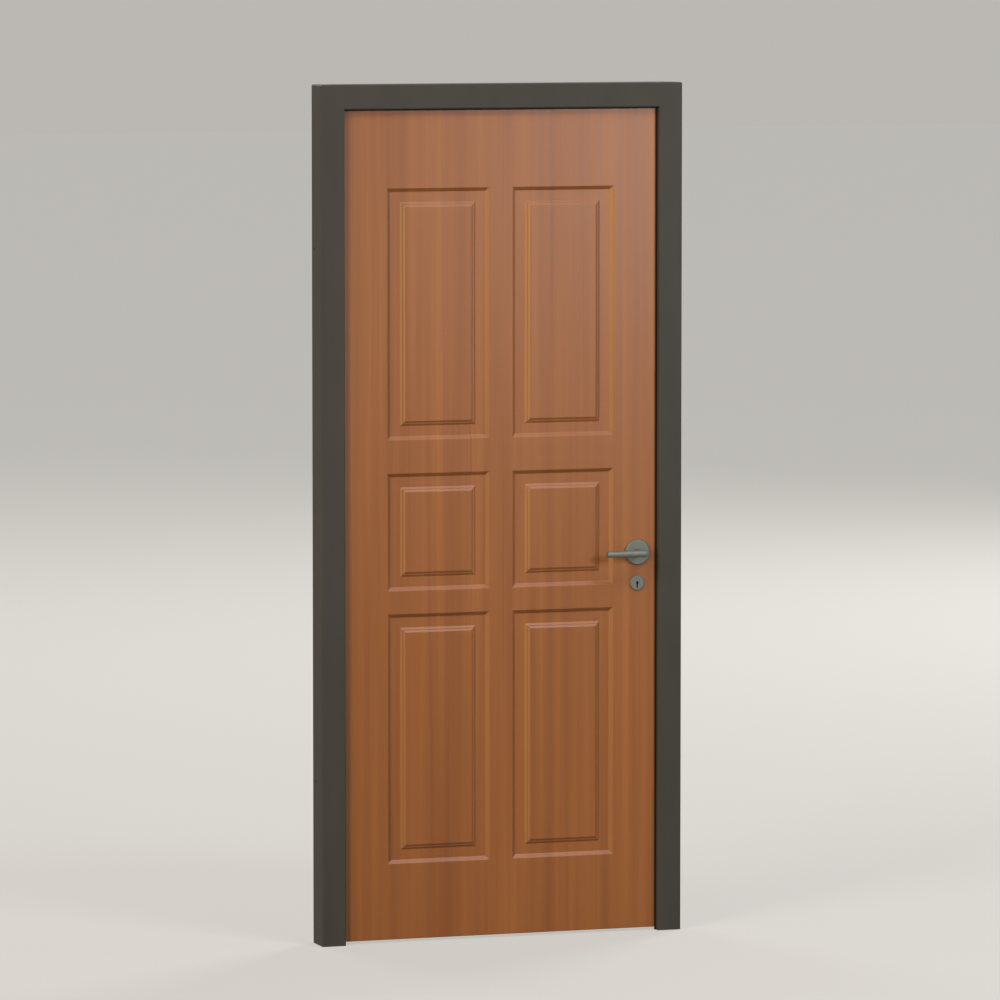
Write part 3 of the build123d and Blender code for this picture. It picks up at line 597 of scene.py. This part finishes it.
def screwLocal(head, headHeight, shank, length):
    # rings of (radius, angle): the head sinks where the point lies in either arm of a cross; below it,
    # radius = shank - depth (1 - cos(2 pi z / pitch - angle)) / 2, running out to a point
    s = screw
    angle = np.linspace(0, 2 * pi, s["columns"], endpoint=False)[None, :]
    radius = np.linspace(0, 1, s["headRings"])[:, None] * head
    x, y = radius * np.cos(angle), radius * np.sin(angle)
    half, reach, soft = s["armWidth"] * head, s["armReach"] * head, s["soft"]
    inArm = [
        eased((half - abs(a)) / soft + 0.5) * eased((reach - abs(b)) / soft + 0.5)
        for a, b in ((x, y), (y, x))
    ]
    top = np.stack([x, y, s["recess"] * head / s["head"] * np.maximum(*inArm)], -1)
    z = np.linspace(headHeight, length, s["threadRows"])[:, None]
    wave = (1 - np.cos(2 * pi * z / s["pitch"] - angle)) / 2
    thread = shank - s["threadDepth"] * wave * eased((z - headHeight) / s["pitch"])
    body = np.stack([thread * np.cos(angle), thread * np.sin(angle), z + 0 * angle], -1)
    end = np.zeros((1, s["columns"], 3)) + (0, 0, length + shank)
    return np.concatenate([top, body, end])


def screwSet(name, node, body, places, direction, length, size=1.0):
    # the same screw at every place, each turned by an angle of its own:
    # point = place + x u + y v + z direction
    s = screw
    local = screwLocal(s["head"] * size, s["headHeight"], s["shank"] * size, length) * mm
    way = np.array(direction, float)
    u = np.cross(way, (0, 1, 0) if abs(way[1]) < 0.5 else (0, 0, 1))  # square to the screw
    v = np.cross(way, u)
    turn = np.random.default_rng(len(places)).uniform(0, pi, len(places))
    parts = []
    for place, a in zip(places, turn):
        across, over = np.cos(a) * u + np.sin(a) * v, np.cos(a) * v - np.sin(a) * u
        points = np.array(place) + local[..., :1] * across + local[..., 1:2] * over + local[..., 2:] * way
        parts.append((points.reshape(-1, 3), gridQuads(len(local), s["columns"])))
    return dressed(looseObject(name, parts), screwSteel, body, [node], sharp=40)


screwPlaces = {
    # the hinge's axis lies midway in the gap beside the leaf and behind its inside face, and each plate has
    # two staggered rows of screws
    "hingeGap": 1.5, "hingeBehind": 7, "rowBack": 31, "rowStagger": 8, "rowPitch": 25, "rowScrews": 4,
    # strike and forend share the middle of the lock's case, which ends above the lever and below the keyhole
    "rebateGap": 3, "caseAbove": 46, "caseBelow": 42, "strikeHalf": 78, "forendHalf": 105.5,
    # corner screws go down from the frame's top, two at each side
    "cornerX": 440, "cornerY": 7.5, "cornerHalf": 16.25, "cornerTop": 2098,
    # furniture screws start this far out from the leaf's face, to either side of the lever's axis
    "furnitureLift": 3, "roseHalf": 19, "escutcheonHalf": 11.5,
}  # mm, with rowScrews as a count
at = screwPlaces
gap = at["hingeGap"] * mm
hingeAxisX, hingeAxisY = leafLeft - gap, faceLevel + at["hingeBehind"] * mm
rebate = leafRight + at["rebateGap"] * mm
caseMiddle = (leverZ + at["caseAbove"] * mm + keyZ - at["caseBelow"] * mm) / 2
hingeScrews = [
    (hingeAxisY - (at["rowBack"] - at["rowStagger"] * (i % 2)) * mm,
     z + (i - (at["rowScrews"] - 1) / 2) * at["rowPitch"] * mm)
    for z in leaf["hingeLevels"] for i in range(at["rowScrews"])
]
for part, way in (("frame", -1), ("leaf", 1)):
    places = [(hingeAxisX + way * gap, y, z) for y, z in hingeScrews]
    screwSet(f"{part}HingeScrews", f"{part}_hinge_screws", part, places, (way, 0, 0), screw["length"])
for part, body, x, half, way in (
    ("strike", "frame", rebate, at["strikeHalf"], 1), ("forend", "leaf", leafRight, at["forendHalf"], -1),
):
    places = [(x, 0, caseMiddle + end * half * mm) for end in (-1, 1)]
    screwSet(f"{part}Screws", f"{part}_screws", body, places, (way, 0, 0), screw["length"])
places = [
    (side * at["cornerX"] * mm, (at["cornerY"] + end * at["cornerHalf"]) * mm, at["cornerTop"] * mm)
    for side in (-1, 1) for end in (-1, 1)
]
screwSet(
    "cornerScrews", "corner_screws", "frame", places, (0, 0, -1), screw["cornerLength"],
    size=screw["cornerShank"] / screw["shank"])
for side, outward in (("outside", -1), ("inside", 1)):
    places = [
        (leverX + end * half * mm, outward * (faceLevel + at["furnitureLift"] * mm), z)
        for z, half in ((leverZ, at["roseHalf"]), (keyZ, at["escutcheonHalf"])) for end in (-1, 1)
    ]
    screwSet(
        f"{side}FurnitureScrews", f"{side}_furniture_screws", "leaf", places, (0, -outward, 0),
        screw["shortLength"])


grub = {
    "radius": 2.5, "length": 4.5, "rings": 12, "columns": 48,
    "socketDepth": 2.0, "socketHalf": 1.25, "soft": 0.25,
}  # mm, with rings and columns as counts


def grubPiece():
    # short rod whose outer end sinks inside a hexagon, where the largest of three |p . n| is under half the
    # socket's width
    g = grub
    angle = np.linspace(0, 2 * pi, g["columns"], endpoint=False)[None, :]
    radius = np.linspace(0, g["radius"], g["rings"])[:, None]
    x, y = radius * np.cos(angle), radius * np.sin(angle)
    across = np.max([abs(x * np.cos(a) + y * np.sin(a)) for a in (0, pi / 3, 2 * pi / 3)], axis=0)
    sunk = g["socketDepth"] * eased((g["socketHalf"] - across) / g["soft"] + 0.5)
    end = np.stack([x, y, g["length"] - sunk], -1)
    foot = np.stack([x[::-1], y[::-1], 0 * x], -1)
    local = np.concatenate([end, foot]) * mm
    parts = []
    for outward in (-1, 1):
        points = np.array(grubPlace(outward)) + local * (1, 1, -1)
        parts.append((points.reshape(-1, 3), gridQuads(len(local), g["columns"])))
    return dressed(looseObject("grubScrews", parts), screwSteel, "lever", ["grub_screws"])


grubPiece()
print("screws made")


# Latch spring

# the wire's radius and how far the latch draws back in mm, then counts
spring = {"wire": 0.5, "travel": 12.6, "turns": 6, "rowsPerTurn": 24, "columns": 8}


def springPiece():
    # coil along X: centre = (x + length t, radius cos 2 pi n t, radius sin 2 pi n t), with a ring of the wire
    # # round it, carried with the latch
    s = spring
    low, high = (np.array(corner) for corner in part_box("latch_spring"))
    wire, middle = s["wire"] * mm, (low + high) / 2
    length, radius = high[0] - low[0] - 2 * wire, (high[2] - low[2]) / 2 - wire
    t = np.linspace(0, 1, s["turns"] * s["rowsPerTurn"] + 1)
    angle = 2 * pi * s["turns"] * t
    spoke = np.stack([0 * t, np.cos(angle), np.sin(angle)], 1)
    line = np.stack([low[0] + wire + length * t, middle[1] + 0 * t, middle[2] + 0 * t], 1)
    centre = line + radius * spoke
    way = np.gradient(centre, axis=0)
    side = np.cross(way / np.linalg.norm(way, axis=1, keepdims=True), spoke)
    b = np.linspace(0, 2 * pi, s["columns"], endpoint=False)[None, :, None]
    rings = centre[:, None] + wire * (np.cos(b) * spoke[:, None] + np.sin(b) * side[:, None])
    ends = [np.repeat(centre[i][None, None], s["columns"], axis=1) for i in (0, -1)]
    points = np.concatenate([ends[0], rings, ends[1]])
    coil = looseObject("latchSpring", [(points.reshape(-1, 3), gridQuads(len(points), s["columns"]))])
    dressed(coil, caseSteel, "latch", ["latch_spring"], sharp=60)
    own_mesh(coil)


springPiece()
print("spring made")


# Floor, light and camera

studio = {
    "floor": "#d9d6d0", "floorGlow": 0.7, "floorSeen": "#6a6865", "floorDull": 0.05, "floorHalf": 60,
    "world": "#bbb8b3", "worldLight": 0.1,
    "lamps": (
        # name, place, aim, size m, watts, colour
        ("key", (-11.5, -7.19, 9.58), (0, 0, 1.1), 5.6, 1450, "#fffef6"),
        ("warmFill", (-6.6, -6.14, 2.35), (0, 0, 1.1), 1.2, 345, "#fff0aa"),
        ("top", (2.08, -5.14, 8.19), (0, 0, 1.1), 2.2, 350, "#f2f6ff"),
        ("sheen", (1.75, -3.2, 1.95), (0.2, 0, 1.35), 0.7, 42, "#f8faff"),
        ("rightSide", (6.0, -1.0, 2.6), (0, 0, 1.1), 2.0, 50, "#f4f7ff"),
        ("backKey", (8.0, 7.0, 5.5), (0, 0, 1.1), 4.0, 1390, "#ffffff"),
        ("backFill", (-2.0, 9.0, 7.0), (0, 0, 1.0), 3.0, 430, "#ffffff"),
    ),
}


def seenPale(tree, colour, lighting):
    # pale to the camera and to gloss and glass, plain for the light that it gives off
    path = addNode(tree, "ShaderNodeLightPath", {})
    seen = path.outputs["Is Camera Ray"]
    for ray in ("Is Glossy Ray", "Is Transmission Ray"):
        either = addNode(tree, "ShaderNodeMath", {0: seen, 1: path.outputs[ray]}, operation="MAXIMUM")
        seen = either.outputs[0]
    mixed = addNode(
        tree, "ShaderNodeMix", {0: seen, 6: lighting, 7: linearColour(colour)}, data_type="RGBA")
    return mixed.outputs[2]


floorMesh = bpy.data.meshes.new("floor")
half = studio["floorHalf"]
floorMesh.from_pydata(
    [(-half, -half, 0), (half, -half, 0), (half, half, 0), (-half, half, 0)], [], [(0, 1, 2, 3)])
floor = bpy.data.objects.new("floor", floorMesh)
bpy.context.scene.collection.objects.link(floor)
dull = studio["floorDull"]
floorMaterial, tree, shader, _ = newMaterial("paleFloor", {
    "Roughness": 0.95, "Specular IOR Level": 0.0, "Emission Strength": studio["floorGlow"]})
tree.links.new(seenPale(tree, studio["floorSeen"], (dull, dull, dull, 1)), shader.inputs["Base Color"])
tree.links.new(seenPale(tree, studio["floor"], (0, 0, 0, 1)), shader.inputs["Emission Color"])
floorMesh.materials.append(floorMaterial)

world = bpy.data.worlds.new("studio")
world.use_nodes = True
bpy.context.scene.world = world
level = studio["worldLight"]
pale = seenPale(world.node_tree, studio["world"], (level, level, level, 1))
world.node_tree.links.new(pale, world.node_tree.nodes["Background"].inputs["Color"])

for name, place, aim, size, watts, colour in studio["lamps"]:
    data = bpy.data.lights.new(name, "AREA")
    data.size, data.energy, data.color = size, watts, linearColour(colour)[:3]
    lamp = bpy.data.objects.new(name, data)
    bpy.context.scene.collection.objects.link(lamp)
    lamp.location = place
    way = np.array(aim, float) - np.array(place)
    tilt = np.arctan2(np.hypot(way[0], way[1]), -way[2])
    lamp.rotation_euler = (tilt, 0, np.arctan2(way[1], way[0]) - pi / 2)
print("studio made")

view = {  # place and far in metres, down and right in degrees, lens and sensor in mm
    "place": (-5.2940, -15.8222, 2.5092), "down": 4.903, "right": 18.516,
    "lens": 245.97, "sensor": 36, "far": 200,
}
cameraData = bpy.data.cameras.new("camera")
cameraData.lens, cameraData.sensor_width, cameraData.clip_end = view["lens"], view["sensor"], view["far"]
camera = bpy.data.objects.new("camera", cameraData)
bpy.context.scene.collection.objects.link(camera)
camera.location = view["place"]
camera.rotation_euler = (radians(90 - view["down"]), 0, -radians(view["right"]))
bpy.context.scene.camera = camera
bpy.context.scene.view_settings.view_transform = "Standard"
